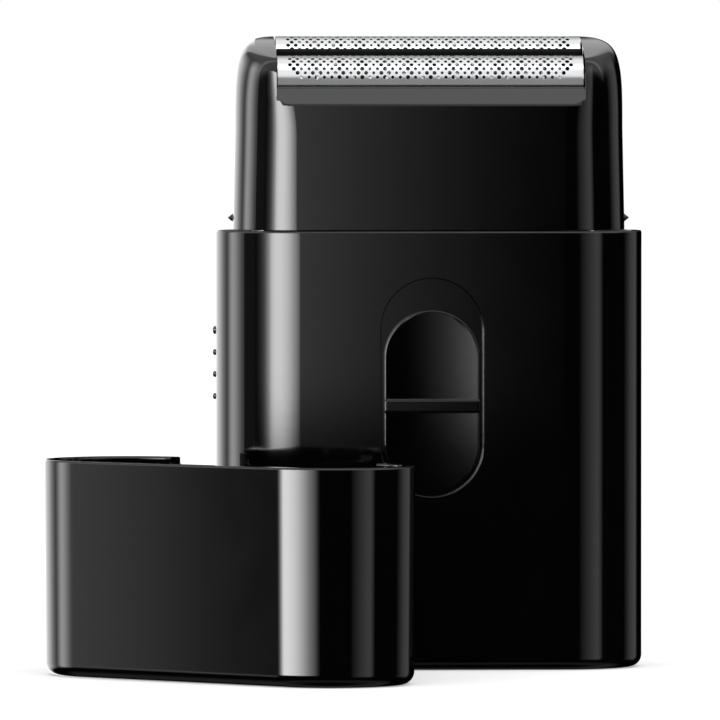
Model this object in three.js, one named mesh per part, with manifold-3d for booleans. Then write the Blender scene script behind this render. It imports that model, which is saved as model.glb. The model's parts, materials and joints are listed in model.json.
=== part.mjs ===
// Pocket electric shaver with two foils: a handset, its reciprocating drive and a loose travel cap.
// Millimetres, +Z up, front towards -Y. The origin is the middle of the face that the handset stands on.
import * as THREE from "three";
import { mergeVertices } from "three/addons/utils/BufferGeometryUtils.js";
import Module from "manifold-3d";

const wasm = await Module();
wasm.setup();

// ---------------------------------------------------------------- driving dimensions

const BODY = { halfWidth: 31, halfDepth: 12, height: 63.4, wall: 1.6, edge: 2.2, floor: 1.8 };
const NECK = {
  base: 63.5, // just above the top edge of the housing
  flat: 19.4, // half length of the straight sides
  halfWidth: 28.5, // at the base
  halfDepth: 9.4,
  shoulder: 28.2, // half width where the rounding towards the top starts
  rounding: 0.54, // share of the height where it starts
  squareness: 3.7,
  crown: 24.4, // half width, half depth and straight sides at the very top
  crownDepth: 7.4,
  crownFlat: 22,
  lean: THREE.MathUtils.degToRad(11), // the tops of the cheeks slope towards the front
  top: 91.6, // highest point, at the rear of the cheeks
  wall: 1.2,
};
const HEAD_TILT = THREE.MathUtils.degToRad(19); // the shaving plane leans towards the front
const DATUM_Z = 86.87; // height of the shaving plane's datum at y = 0
const FOIL = {
  radius: 3.3, centre: -0.05, spacing: 8.7, length: 44.3, thick: 0.25,
  tuck: 1.2, // legs below the datum, in the cassette's grooves
  divider: 3.15, // height of the bar between the foils
};
const POCKET = { halfWidth: 7.35, low: 25.1, high: 56.6, depth: 1.4 };
const KNOB = { // at rest, off; it slides 4.2 mm up to switch on
  halfWidth: 6.85, low: 25.4, high: 52, proud: 0.5,
  ridge: 38.2, ridgeHeight: 1.7, scoop: 0.4, scoopRadius: 300,
};
const CAP = { height: 30.9, draft: 0.2, edge: 2.5, cavity: 28.8, halfWidth: 28.85, halfDepth: 9.75 };
const CAP_PLACE = { x: -29.95, y: -32.5, turn: THREE.MathUtils.degToRad(-41.9) };
const KEY = { halfWidth: 19, height: 1.4, thick: 1.5 }; // tongue at the rear that fits the cap's notch
const NUB = { z: 65.2, out: 0.5, halfDepth: 1.5 }; // cap catch on each side of the neck
const BOARD = { halfWidth: 12, front: -7.6, back: -6.6, low: 2.4, high: 50 };
const SOCKET = { halfWidth: 4.47, y: -4.95, halfDepth: 1.6, low: 0.5, high: 7.8, wall: 0.3 };
const CELL = { radius: 7.1, halfLength: 24.5, y: 1.2, z: 17 };
const MOTOR = { y: 1.6, radius: 10, flat: 7.5, low: 27.2, high: 51.2, wall: 0.7 };
const FRAME = { back: 10.2, front: 9.3, shelf: 8.2, plateLow: 51.5, plateHigh: 53.3 };
const DECK = { low: 61.2, high: 63.2 };
const CRANK = { offset: 0.6, radius: 1.9, low: 55.4, high: 58.6 };
const CASSETTE = { halfDepth: 8.15, low: -2.4 };
const STROKE = 0.6; // the oscillator moves this far to each side
const GUIDE = { y: [-2.8, 6], z: 57.3, radius: 0.75, halfLength: 13.6 }; // pins that the oscillator slides on
const LIGHTS = [39.3, 42.5, 45.7, 48.9]; // heights of the charge gauge's four lights
const ARC = 12; // steps in a half circle on the large pieces

// ---------------------------------------------------------------- materials

const plastic = (color, roughness = 0.5) =>
  new THREE.MeshStandardMaterial({ color, roughness, metalness: 0 });
const metal = (color, roughness = 0.35) =>
  new THREE.MeshStandardMaterial({ color, roughness, metalness: 1 });

const MAT = {
  gloss_black: plastic(0x0b0b0c, 0.12),
  satin_black: plastic(0x1c1c1e, 0.35),
  inner_plastic: plastic(0x2e3034, 0.6),
  rubber: plastic(0x1a1a1a, 0.85),
  foil_steel: metal(0xd4d6d8, 0.25),
  blade_steel: metal(0xb4b7ba, 0.3),
  steel: metal(0x9a9da1, 0.35),
  brass: metal(0xb9924c, 0.35),
  copper: metal(0xb06a3c, 0.4),
  cell_wrap: plastic(0x1f5f8c, 0.4),
  board_green: plastic(0x1d4a33, 0.5),
  light_lens: plastic(0x101418, 0.1),
  red_wire: plastic(0x9c1f1f, 0.5),
  black_wire: plastic(0x151515, 0.5),
  magnet: plastic(0x3a3a3c, 0.6),
};

// ---------------------------------------------------------------- solids

function solid(geometry) {
  const bare = geometry.clone();
  bare.deleteAttribute("normal");
  bare.deleteAttribute("uv");
  const merged = mergeVertices(bare, 1e-4);
  return new wasm.Manifold(
    new wasm.Mesh({
      numProp: 3,
      vertProperties: new Float32Array(merged.attributes.position.array),
      triVerts: new Uint32Array(merged.index.array),
    }),
  );
}

function geometryOf(manifold) {
  const mesh = manifold.getMesh();
  const geometry = new THREE.BufferGeometry();
  geometry.setAttribute("position", new THREE.BufferAttribute(mesh.vertProperties, 3));
  geometry.setIndex(new THREE.BufferAttribute(mesh.triVerts, 1));
  geometry.computeVertexNormals();
  return geometry;
}

const join = (...parts) => geometryOf(parts.map(solid).reduce((a, b) => a.add(b)));
const cut = (base, ...tools) =>
  geometryOf(tools.map(solid).reduce((a, b) => a.subtract(b), solid(base)));
const common = (a, b) => geometryOf(solid(a).intersect(solid(b)));

function box(x0, x1, y0, y1, z0, z1) {
  return new THREE.BoxGeometry(x1 - x0, y1 - y0, z1 - z0)
    .translate((x0 + x1) / 2, (y0 + y1) / 2, (z0 + z1) / 2);
}

// An upright cylinder or cone from z0 to z1.
function rod(radius, z0, z1, x = 0, y = 0, sides = 16, topRadius = radius) {
  return new THREE.CylinderGeometry(topRadius, radius, z1 - z0, sides)
    .rotateX(Math.PI / 2)
    .translate(x, y, (z0 + z1) / 2);
}

// Points round a stadium with elliptical ends: straight sides of half length `flat`, anticlockwise from +X.
function stadium(halfWidth, halfDepth, flat, steps = ARC) {
  const points = [];
  for (const side of [1, -1])
    for (let i = 0; i <= steps; i++) {
      const turn = -Math.PI / 2 + (Math.PI * i) / steps;
      const x = flat + (halfWidth - flat) * Math.cos(turn);
      points.push([side * x, side * halfDepth * Math.sin(turn)]);
    }
  return points;
}

// A round-ended outline of constant inset from the housing's own.
const bodyOutline = (inset, steps) =>
  stadium(BODY.halfWidth - inset, BODY.halfDepth - inset, BODY.halfWidth - BODY.halfDepth, steps);

// A closed solid through rings of [x, y, z] points that all have the same count.
function loft(rings) {
  const count = rings[0].length;
  const positions = rings.flat(2);
  const index = [];
  for (let r = 0; r + 1 < rings.length; r++)
    for (let i = 0; i < count; i++) {
      const a = r * count + i;
      const b = r * count + ((i + 1) % count);
      index.push(a, b, b + count, a, b + count, a + count);
    }
  const last = (rings.length - 1) * count;
  for (let i = 1; i + 1 < count; i++) {
    index.push(0, i + 1, i);
    index.push(last, last + i, last + i + 1);
  }
  const geometry = new THREE.BufferGeometry();
  geometry.setAttribute("position", new THREE.Float32BufferAttribute(positions, 3));
  geometry.setIndex(index);
  geometry.computeVertexNormals();
  return geometry;
}

const level = (outline, z) => outline.map(([x, y]) => [x, y, z]);
const prism = (outline, z0, z1) => loft([level(outline, z0), level(outline, z1)]);

// A plate standing in the XZ plane, from y0 to y1, whose outline is a list of [x, z].
function upright(outline, y0, y1) {
  const shape = new THREE.Shape(outline.map(([x, z]) => new THREE.Vector2(x, z)));
  return new THREE.ExtrudeGeometry(shape, { depth: y1 - y0, bevelEnabled: false })
    .rotateX(Math.PI / 2)
    .translate(0, y1, 0);
}

// The outline of an upright pill, as [x, z].
function pill(halfWidth, low, high, steps = ARC) {
  const points = [];
  for (const [centre, start] of [[high - halfWidth, 0], [low + halfWidth, Math.PI]])
    for (let i = 0; i <= steps; i++) {
      const turn = start + (Math.PI * i) / steps;
      points.push([halfWidth * Math.cos(turn), centre + halfWidth * Math.sin(turn)]);
    }
  return points;
}

// A bar's outline as [x, z], with two corners rounded: the upper ones, or the lower ones of a notch.
function tongue(halfWidth, low, high, radius, steps = 4) {
  const top = high > low;
  const centre = top ? high - radius : high + radius;
  const points = [];
  for (let i = 0; i <= steps; i++) {
    const turn = (Math.PI / 2) * (i / steps);
    const rise = (top ? 1 : -1) * radius * Math.sin(turn);
    points.push([halfWidth - radius + radius * Math.cos(turn), centre + rise]);
  }
  const mirrored = points.map(([x, z]) => [-x, z]).reverse();
  return [[halfWidth, low], ...points, ...mirrored, [-halfWidth, low]];
}

// A bar along X whose outline is a list of [y, z].
function barAlongX(outline, x0, x1) {
  const shape = new THREE.Shape(outline.map(([y, z]) => new THREE.Vector2(y, z)));
  return new THREE.ExtrudeGeometry(shape, { depth: x1 - x0, bevelEnabled: false })
    .applyMatrix4(new THREE.Matrix4().makeBasis(
      new THREE.Vector3(0, 1, 0), new THREE.Vector3(0, 0, 1), new THREE.Vector3(1, 0, 0)))
    .translate(x0, 0, 0);
}

// A round wire through points, as an extrusion along a smooth curve.
function wire(points, radius, steps, sides = 6) {
  const path = points.map((p) => new THREE.Vector3(...p));
  return tube(new THREE.CatmullRomCurve3(path, false, "centripetal"), radius, steps, sides);
}

function tube(curve, radius, steps, sides) {
  const shape = new THREE.Shape();
  for (let i = 0; i < sides; i++) {
    const turn = (2 * Math.PI * i) / sides;
    const point = [radius * Math.cos(turn), radius * Math.sin(turn)];
    if (i === 0) shape.moveTo(...point);
    else shape.lineTo(...point);
  }
  return new THREE.ExtrudeGeometry(shape, { steps, extrudePath: curve, bevelEnabled: false });
}

class Coil extends THREE.Curve {
  constructor(radius, height, turns) {
    super();
    Object.assign(this, { radius, height, turns });
  }
  getPoint(t, target = new THREE.Vector3()) {
    const turn = 2 * Math.PI * this.turns * t;
    return target.set(this.radius * Math.cos(turn), this.radius * Math.sin(turn), this.height * t);
  }
}

// ---------------------------------------------------------------- the scene graph

const shaver = new THREE.Group();
const head = new THREE.Group(); // its own Z is the normal of the tilted shaving plane
head.position.set(0, 0, DATUM_Z);
head.rotation.x = HEAD_TILT;
shaver.add(head);

function add(name, geometry, material, group = shaver) {
  const mesh = new THREE.Mesh(geometry, material);
  mesh.name = name;
  group.add(mesh);
  return mesh;
}

// ---------------------------------------------------------------- housing

function mainHousing() {
  const rings = [];
  for (let i = 0; i <= 4; i++) {
    const turn = (Math.PI / 2) * (i / 4);
    const inset = BODY.edge * (1 - Math.sin(turn));
    rings.push(level(bodyOutline(inset), BODY.edge * (1 - Math.cos(turn))));
  }
  rings.push(level(bodyOutline(0), BODY.height));
  const cavity = prism(bodyOutline(BODY.wall), BODY.floor, BODY.height + 1);
  const front = -BODY.halfDepth;
  const pocketPill = (grow) => pill(POCKET.halfWidth + grow, POCKET.low - grow, POCKET.high + grow);
  const pad = upright(pocketPill(1.2), front + 0.8, front + 2.6);
  const keyOutline = tongue(KEY.halfWidth, BODY.height - 1, BODY.height + KEY.height, 0.7);
  const key = upright(keyOutline, BODY.halfDepth - KEY.thick, BODY.halfDepth);
  const pocket = upright(pocketPill(0), front - 1, front + POCKET.depth);
  const slot = box(-2.6, 2.6, front, front + 3, 33.4, 48.6);
  const port = prism(socketOutline(-0.25), -1, BODY.floor + 1);
  const lightHole = rod(0.95, -1, BODY.floor + 1, 9, SOCKET.y, 8);
  const gaugeHoles = LIGHTS.map((z, i) =>
    gaugeShape(0.55, -2, 2, i).translate(-BODY.halfWidth + 0.8, 0, z));
  return cut(join(cut(loft(rings), cavity), pad, key), pocket, slot, port, lightHole, ...gaugeHoles);
}

function deckPlate() {
  const plate = prism(bodyOutline(BODY.wall + 0.1), DECK.low, DECK.high);
  const stem = box(-5, 5, -4.2, 4.2, DECK.low - 1, DECK.high + 1);
  const screws = [-24, 24].map((x) => rod(1.05, DECK.low - 1, DECK.high + 1, x, 0, 10));
  return cut(plate, stem, ...screws);
}

function deckGasket() {
  const outline = (inset) => bodyOutline(BODY.wall + inset);
  return cut(prism(outline(0.15), 60, 61), prism(outline(1.1), 59, 62));
}

// Screw with its head on top: the head stands on z and the shank reaches down.
function screw(x, y, z, length, headRadius = 1.7, shankRadius = 0.9) {
  const cross = [0, Math.PI / 2].map((turn) =>
    new THREE.BoxGeometry(1.8, 0.4, 1).rotateZ(turn).translate(x, y, z + 1.1));
  const shank = rod(shankRadius, z - length, z + 0.3, x, y, 10);
  return cut(join(shank, rod(headRadius, z, z + 1.1, x, y, 12)), ...cross);
}

// ---------------------------------------------------------------- neck and cheeks

const SPAN = FOIL.length / 2 + 0.15; // half the distance between the cheeks

// Half width and half depth of the neck at a share of its height.
function neckSize(share, inset) {
  const rise = Math.max(0, (share - NECK.rounding) / (1 - NECK.rounding));
  const sides = Math.min(share / NECK.rounding, 1);
  const straight = NECK.halfWidth + (NECK.shoulder - NECK.halfWidth) * sides;
  const closing = (1 - rise ** NECK.squareness) ** (1 / NECK.squareness);
  const ends = NECK.crown + (straight - NECK.crown) * closing;
  const faces = NECK.crownDepth + (NECK.halfDepth - NECK.crownDepth) * (1 - rise ** 4) ** 0.25;
  const flat = NECK.flat + (NECK.crownFlat - NECK.flat) * rise ** 2;
  return [ends - inset, faces - inset, flat];
}

// Each ring is flat, and leans more the higher it is, from level at the base.
function neckRing(share) {
  const crown = NECK.top - NECK.crownDepth * Math.tan(NECK.lean);
  return stadium(...neckSize(share, 0)).map(([x, y]) => {
    const top = crown + y * Math.tan(NECK.lean);
    return [x, y, NECK.base + share * (top - NECK.base)];
  });
}

const tilted = (geometry) => geometry.rotateX(HEAD_TILT).translate(0, 0, DATUM_Z);

function headShell() {
  const shares = [0, 0.54, 0.66, 0.76, 0.84, 0.9, 0.945, 0.975, 0.992, 1];
  const outer = loft(shares.map(neckRing));
  const nubs = [-1, 1].map((side) =>
    new THREE.OctahedronGeometry(1).scale(NUB.out + 0.35, NUB.halfDepth, 0.75)
      .translate(side * (NECK.halfWidth - 0.35), 0, NUB.z));
  const section = stadium(...neckSize(0, NECK.wall));
  const ceiling = DATUM_Z + (CASSETTE.low - 1.85) / Math.cos(HEAD_TILT);
  const inside = loft([
    level(section, NECK.base - 1),
    section.map(([x, y]) => [x, y, ceiling + y * Math.tan(HEAD_TILT)]),
  ]);
  const channel = tilted(box(-SPAN, SPAN, -30, 30, 0, 20));
  const well = tilted(box(-SPAN, SPAN, -8.3, 8.3, CASSETTE.low - 0.25, 1));
  const window = tilted(box(-20.4, 20.4, -6.8, 6.8, -4.8, 0));
  const hookSlots = [-1, 1].map((side) =>
    tilted(box(side * 21.6 - 0.65, side * 21.6 + 0.65, -2.3, 2.3, -6, 0)));
  // The sloping edges in front of and behind the foils, down to the flat faces of the neck.
  const frontEdge = barAlongX([[-11, 79.12], [-8.05, 83.97], [-8.05, 92], [-11, 92]], -SPAN, SPAN);
  const rearEdge = barAlongX([[8.2, 89.3], [11, 85.1], [11, 96], [8.2, 96]], -SPAN, SPAN);
  return cut(join(outer, ...nubs), inside, channel, well, window, ...hookSlots, frontEdge, rearEdge);
}

// ---------------------------------------------------------------- foil cassette (in the head's frame)

// An arch with straight legs, as [y, z], round (y, 0), and back along its inside.
function archOutline(y, radius, thick, leg, steps = 10) {
  const side = (r, reverse) => {
    const points = [[y + r, -leg]];
    for (let i = 0; i <= steps; i++) {
      const turn = (Math.PI * i) / steps;
      points.push([y + r * Math.cos(turn), FOIL.centre + r * Math.sin(turn)]);
    }
    points.push([y - r, -leg]);
    return reverse ? points.reverse() : points;
  };
  return [...side(radius, false), ...side(radius - thick, true)];
}

const foil = (y) =>
  barAlongX(archOutline(y, FOIL.radius, FOIL.thick, FOIL.tuck), -FOIL.length / 2, FOIL.length / 2);

function cassetteFrame() {
  const half = FOIL.length / 2;
  const block = box(-half, half, -CASSETTE.halfDepth, CASSETTE.halfDepth, CASSETTE.low, -0.15);
  const hooks = [-1, 1].map((side) =>
    box(side * 21.6 - 0.4, side * 21.6 + 0.4, -2, 2, CASSETTE.low - 2.2, -1.5));
  const slots = (reach, extra, depth) => [-1, 1].map((side) => {
    const y = (side * FOIL.spacing) / 2;
    return box(-half + extra, half - extra, y - reach, y + reach, depth, 2);
  });
  const windows = slots(FOIL.radius - 0.4, 1.2, -5);
  const grooves = slots(FOIL.radius + 0.05, -1, -FOIL.tuck - 0.1);
  const seat = box(-half - 1, half + 1, -0.4, 0.4, -1.2, 2);
  return cut(join(block, ...hooks), ...windows, ...grooves, seat);
}

const foilDivider = () => box(-FOIL.length / 2, FOIL.length / 2, -0.35, 0.35, -1.1, FOIL.divider);

// ---------------------------------------------------------------- inner cutters (in the head's frame)

const BLADES = {
  count: 16, pitch: 2.5, thick: 0.5, radius: FOIL.radius - FOIL.thick - 0.3, halfLength: 19.3,
};

// The oscillator's arm lies under the carriers, and a spring stands between it and each one.
const ARM = { low: -8.2, springLow: -6.6, springHigh: -4.2 };

function bladeBlock(y) {
  const outline = [];
  for (let i = 0; i <= 8; i++) {
    const turn = (Math.PI * i) / 8;
    outline.push([y + BLADES.radius * Math.cos(turn), FOIL.centre + BLADES.radius * Math.sin(turn)]);
  }
  const blades = [];
  for (let i = 0; i < BLADES.count; i++) {
    const x = (i - (BLADES.count - 1) / 2) * BLADES.pitch;
    blades.push(barAlongX(outline, x - BLADES.thick / 2, x + BLADES.thick / 2));
  }
  return join(box(-BLADES.halfLength, BLADES.halfLength, y - 0.9, y + 0.9, -0.9, 1.2), ...blades);
}

function cutterCarrier(y) {
  const bar = box(-BLADES.halfLength, BLADES.halfLength, y - 2.1, y + 2.1, -2.6, -0.05);
  const seat = box(-BLADES.halfLength - 1, BLADES.halfLength + 1, y - 0.95, y + 0.95, -0.95, 1);
  const boss = rod(2, ARM.springHigh, -2.4, 0, y, 12);
  return cut(join(bar, boss), seat, rod(1.35, -6, -1.6, 0, y, 12));
}

const cutterSpring = () => tube(new Coil(1.6, ARM.springHigh - ARM.springLow - 0.9, 2.5), 0.2, 32, 5);

// ---------------------------------------------------------------- drive

function oscillator() {
  const block = box(-9, 9, -4.6, 7.8, 55.2, 60);
  const reach = CRANK.offset + CRANK.radius + 0.3;
  const yoke = box(-reach - STROKE, reach + STROKE, MOTOR.y - reach, MOTOR.y + reach, 50, CRANK.high + 0.5);
  const bores = GUIDE.y.map((y) => guideRod(y, GUIDE.radius + 0.3, 12));
  const stem = box(-2.2, 2.2, -2, 2, 59.5, 78.9);
  const arm = tilted(box(-2.2, 2.2, -5.5, 5.2, ARM.low, ARM.springLow));
  const posts = [-1, 1].map((side) =>
    tilted(rod(1.05, ARM.springLow - 1, -2.9, 0, (side * FOIL.spacing) / 2, 10)));
  return cut(join(block, stem, arm, ...posts), yoke, ...bores);
}

const guideRod = (y, radius, sides) =>
  rod(radius, -GUIDE.halfLength, GUIDE.halfLength, 0, 0, sides)
    .rotateY(Math.PI / 2)
    .translate(0, y, GUIDE.z);

function driveBoot() {
  const outline = (halfX, halfY) => stadium(halfX, halfY, halfX - halfY, 6);
  const bell = (inset, low, high) => loft([
    level(outline(6.2 - inset, 4.9 - inset), low),
    level(outline(6.2 - inset, 4.9 - inset), 64),
    level(outline(4.5 - inset, 3.8 - inset), 65.2),
    level(outline(4.5 - inset, 3.8 - inset), high),
  ]);
  return cut(bell(0, DECK.high + 0.1, 68), bell(0.7, DECK.high - 1, 69));
}

function flatCan(radius, flat, z0, z1) {
  const round = rod(radius, z0, z1, 0, MOTOR.y, 24);
  const reach = radius + 1;
  return common(round, box(-reach, reach, MOTOR.y - flat, MOTOR.y + flat, z0 - 1, z1 + 1));
}

function motorCan() {
  const { radius, flat, wall, low, high, y } = MOTOR;
  const cavity = flatCan(radius - wall, flat - wall, low - 1, high - wall);
  const boreHole = rod(1.55, high - 2, high + 1, 0, y, 12);
  const screwHoles = [-7, 7].map((x) => rod(0.95, high - 2, high + 1, x, y, 10));
  return cut(flatCan(radius, flat, low, high), cavity, boreHole, ...screwHoles);
}

function motorEndBell() {
  const { radius, flat, wall, low, y } = MOTOR;
  const plug = flatCan(radius - wall - 0.1, flat - wall - 0.1, low - 0.6, low + 2);
  const slots = [-6, 6].map((x) => box(x - 0.9, x + 0.9, y - 0.35, y + 0.35, low - 2, low + 3));
  return cut(plug, rod(1.2, low + 0.6, low + 3, 0, y, 12), ...slots);
}

const motorTerminal = (x) =>
  box(x - 0.8, x + 0.8, MOTOR.y - 0.25, MOTOR.y + 0.25, MOTOR.low - 2.2, MOTOR.low + 2.6);

const motorBushing = () => cut(
  rod(1.5, MOTOR.high - 2.4, MOTOR.high + 0.8, 0, MOTOR.y, 12),
  rod(1.05, MOTOR.high - 4, MOTOR.high + 2, 0, MOTOR.y, 12));

function magnet(side) {
  const outer = flatCan(MOTOR.radius - MOTOR.wall - 0.15, MOTOR.flat - MOTOR.wall - 0.15, 32, 46);
  const inner = rod(7.3, 31, 47, 0, MOTOR.y, 24);
  return cut(common(outer, box(side > 0 ? 2 : -12, side > 0 ? 12 : -2, -20, 20, 30, 50)), inner);
}

function armature() {
  const lobes = [0, 1, 2].map((i) =>
    box(-2.6, 2.6, 0, 5.7, 34, 44).rotateZ((2 * Math.PI * i) / 3).translate(0, MOTOR.y, 0));
  return join(
    rod(1, MOTOR.low + 0.9, CRANK.high - 0.6, 0, MOTOR.y, 12),
    rod(6.5, 36, 42, 0, MOTOR.y, 18),
    rod(2.2, 30, 34.5, 0, MOTOR.y, 12),
    ...lobes,
  );
}

function eccentricCam() {
  const counterweight = rod(3.4, 53.8, 54.8, 0, MOTOR.y, 18);
  const journal = rod(CRANK.radius, 54.5, CRANK.high, CRANK.offset, MOTOR.y, 18);
  return cut(join(counterweight, journal), rod(1.1, 53, CRANK.high - 0.4, 0, MOTOR.y, 12));
}

// ---------------------------------------------------------------- battery, board and frame

// A rod that lies along X on the battery cell's axis.
const lying = (radius, halfLength) =>
  rod(radius, -halfLength, halfLength, 0, 0, 28)
    .rotateY(Math.PI / 2)
    .translate(0, CELL.y, CELL.z);

function innerFrame() {
  const pair = (x0, x1, ...rest) => [box(x0, x1, ...rest), box(-x1, -x0, ...rest)];
  const tapped = (x, y, z) => rod(0.95, -2, 2, 0, 0, 10).rotateX(Math.PI / 2).translate(x, y, z);
  const back = box(-16, 16, FRAME.front, FRAME.back, 2.2, 59.6);
  const shelf = cut(
    box(-20, 20, -4.2, FRAME.front + 0.3, FRAME.shelf, 12.4),
    lying(CELL.radius + 0.15, 25),
  );
  const plate = box(-14, 14, -5.9, FRAME.front + 0.3, FRAME.plateLow, FRAME.plateHigh);
  const guides = pair(11.2, 13.4, -4.6, 8, FRAME.plateHigh - 0.5, 59.4);
  const arms = pair(13, 23, -2, 6, FRAME.plateLow + 0.5, FRAME.plateHigh);
  const posts = pair(21.6, 26.4, -2.4, 2.4, FRAME.plateLow + 0.5, DECK.low - 0.3);
  const boardPosts = pair(8.2, 11.8, BOARD.back + 0.05, -4.4, 47, FRAME.plateHigh);
  const feet = pair(13, 16, -4, FRAME.back, 2.2, FRAME.shelf + 0.2);
  const holes = [
    rod(3, 50, 55, 0, MOTOR.y, 16),
    ...[-7, 7].map((x) => rod(1.05, 50, 55, x, MOTOR.y, 10)),
    ...[-24, 24].map((x) => rod(0.95, 54.5, 62, x, 0, 10)),
    ...[-10, 10].map((x) => tapped(x, -6, 49)),
    ...GUIDE.y.map((y) => guideRod(y, GUIDE.radius + 0.05, 12)),
  ];
  return cut(join(back, shelf, plate, ...guides, ...arms, ...posts, ...boardPosts, ...feet), ...holes);
}

function circuitBoard() {
  const board = box(-BOARD.halfWidth, BOARD.halfWidth, BOARD.front, BOARD.back, BOARD.low, BOARD.high);
  const holes = [-10, 10].map((x) =>
    rod(1.05, -2, 2, 0, 0, 10).rotateX(Math.PI / 2).translate(x, -7, 49));
  const chips = [
    box(-3, 3, -6.7, -6.05, 12, 17),
    box(5, 8, -6.7, -6.1, 20, 22),
    box(-9, -7, -6.7, -6.1, 27, 29),
  ];
  return cut(join(board, ...chips), ...holes);
}

const boardScrew = (x) =>
  screw(0, 0, 0, 3, 1.6, 0.85).rotateX(Math.PI / 2).translate(x, BOARD.front - 0.05, 49);

// The socket's outline, inset or (below zero) grown.
const socketOutline = (inset) =>
  stadium(SOCKET.halfWidth - inset, SOCKET.halfDepth - inset, SOCKET.halfWidth - SOCKET.halfDepth, 6)
    .map(([x, y]) => [x, y + SOCKET.y]);

function usbSocket() {
  return cut(
    prism(socketOutline(0), SOCKET.low, SOCKET.high),
    prism(socketOutline(SOCKET.wall), SOCKET.low - 1, SOCKET.high - 0.8),
  );
}

const usbTongue = () =>
  box(-3.35, 3.35, SOCKET.y - 0.35, SOCKET.y + 0.35, SOCKET.low + 0.7, SOCKET.high - 0.85);

const cell = () => lying(CELL.radius, CELL.halfLength);

const cellTab = (side) => {
  const x = side * (CELL.halfLength + 0.3);
  return box(x - 0.2, x + 0.2, CELL.y - 2, CELL.y + 2, CELL.z - 2, CELL.z + 5);
};

// ---------------------------------------------------------------- slide switch

// A shallow arc across the knob's width, closed in front of its face, as [x, y].
function scoopOutline(face) {
  const points = [];
  for (let i = 0; i <= 12; i++) {
    const x = (KNOB.halfWidth + 0.5) * (1 - i / 6);
    points.push([x, face + KNOB.scoop - x ** 2 / (2 * KNOB.scoopRadius)]);
  }
  return [...points, [-KNOB.halfWidth - 0.5, face - 1], [KNOB.halfWidth + 0.5, face - 1]];
}

// The knob's face is hollowed from side to side above and below a ridge for the thumb.
function switchKnob() {
  const face = -BODY.halfDepth - KNOB.proud;
  const floor = -BODY.halfDepth + POCKET.depth;
  const body = upright(pill(KNOB.halfWidth, KNOB.low, KNOB.high), face, floor - 0.25);
  const hollow = (z0, z1) => prism(scoopOutline(face), z0, z1);
  const top = hollow(KNOB.ridge + KNOB.ridgeHeight / 2, KNOB.high + 1);
  const bottom = hollow(KNOB.low - 1, KNOB.ridge - KNOB.ridgeHeight / 2);
  const stem = box(-2.3, 2.3, floor - 0.4, -9.1, 33.7, 43.5);
  return join(cut(body, top, bottom), stem);
}

const switchSlider = () =>
  join(box(-4.6, 4.6, -9.05, -8.3, 31.4, 45.6), box(-1.2, 1.2, -8.5, -8, 40, 44));

// Two sprung fingers with turned-in feet, joined by a bar.
const contactWiper = () => join(
  ...[-2.7, 2.7].map((x) => box(x - 0.9, x + 0.9, -8.25, -7.95, 34, 43)),
  ...[-2.7, 2.7].map((x) => box(x - 0.9, x + 0.9, -8.25, -7.7, 33, 34.2)),
  box(-3.6, 3.6, -8.25, -8.05, 35, 37),
);

const controlChip = () => box(-3.4, 3.4, BOARD.back + 0.05, BOARD.back + 0.55, 33, 41);

// ---------------------------------------------------------------- lights

// The topmost light is an oval, the others are round.
const gaugeShape = (radius, low, high, index) =>
  rod(radius, low, high, 0, 0, 8)
    .rotateY(Math.PI / 2)
    .scale(1, 1, index === LIGHTS.length - 1 ? 1.35 : 1);

function gaugeLight(z, index) {
  const profile = [[0, -2], [0.45, -2], [0.45, 0], [0.32, 0.17], [0, 0.25]];
  return new THREE.LatheGeometry(profile.map(([r, h]) => new THREE.Vector2(r, h)), 8)
    .rotateZ(Math.PI / 2)
    .scale(1, 1, index === LIGHTS.length - 1 ? 1.35 : 1)
    .translate(-BODY.halfWidth, 0, z);
}

const gaugeBoard = () => box(-28.9, -28.1, -1.6, 1.6, 36.5, 51.5);
const chargeLight = () => rod(0.85, 0.3, 2.6, 9, SOCKET.y, 8);

// ---------------------------------------------------------------- travel cap, open end up

function capShell() {
  const rings = [];
  for (let i = 0; i <= 4; i++) {
    const turn = (Math.PI / 2) * (i / 4);
    const inset = CAP.draft + CAP.edge * (1 - Math.sin(turn));
    rings.push(level(bodyOutline(inset), CAP.edge * (1 - Math.cos(turn))));
  }
  rings.push(level(bodyOutline(0), CAP.height));
  const floor = CAP.height - CAP.cavity;
  const inside = (grow) => stadium(CAP.halfWidth + grow, CAP.halfDepth + grow, NECK.flat);
  const cavity = loft([level(inside(-0.3), floor), level(inside(0), CAP.height + 1)]);
  const notchOutline = tongue(
    KEY.halfWidth + 0.3, CAP.height + 1, CAP.height - KEY.height - 0.2, 0.9);
  const notch = upright(notchOutline, 8, 20);
  const catches = [-1, 1].map((side) =>
    new THREE.OctahedronGeometry(1).scale(0.8, NUB.halfDepth + 0.4, 0.9)
      .translate(side * CAP.halfWidth, 0, CAP.height - (NUB.z - BODY.height)));
  return cut(loft(rings), cavity, notch, ...catches);
}

// ---------------------------------------------------------------- assembly

add("main_housing", mainHousing(), MAT.gloss_black);
add("deck_plate", deckPlate(), MAT.satin_black);
add("deck_gasket", deckGasket(), MAT.rubber);
add("deck_screw_left", screw(-24, 0, DECK.high + 0.05, 7), MAT.steel);
add("deck_screw_right", screw(24, 0, DECK.high + 0.05, 7), MAT.steel);
add("head_shell", headShell(), MAT.gloss_black);
add("drive_boot", driveBoot(), MAT.rubber);

add("cassette_frame", cassetteFrame(), MAT.satin_black, head);
add("front_foil", foil(-FOIL.spacing / 2), MAT.foil_steel, head);
add("rear_foil", foil(FOIL.spacing / 2), MAT.foil_steel, head);
add("foil_divider", foilDivider(), MAT.satin_black, head);

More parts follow.
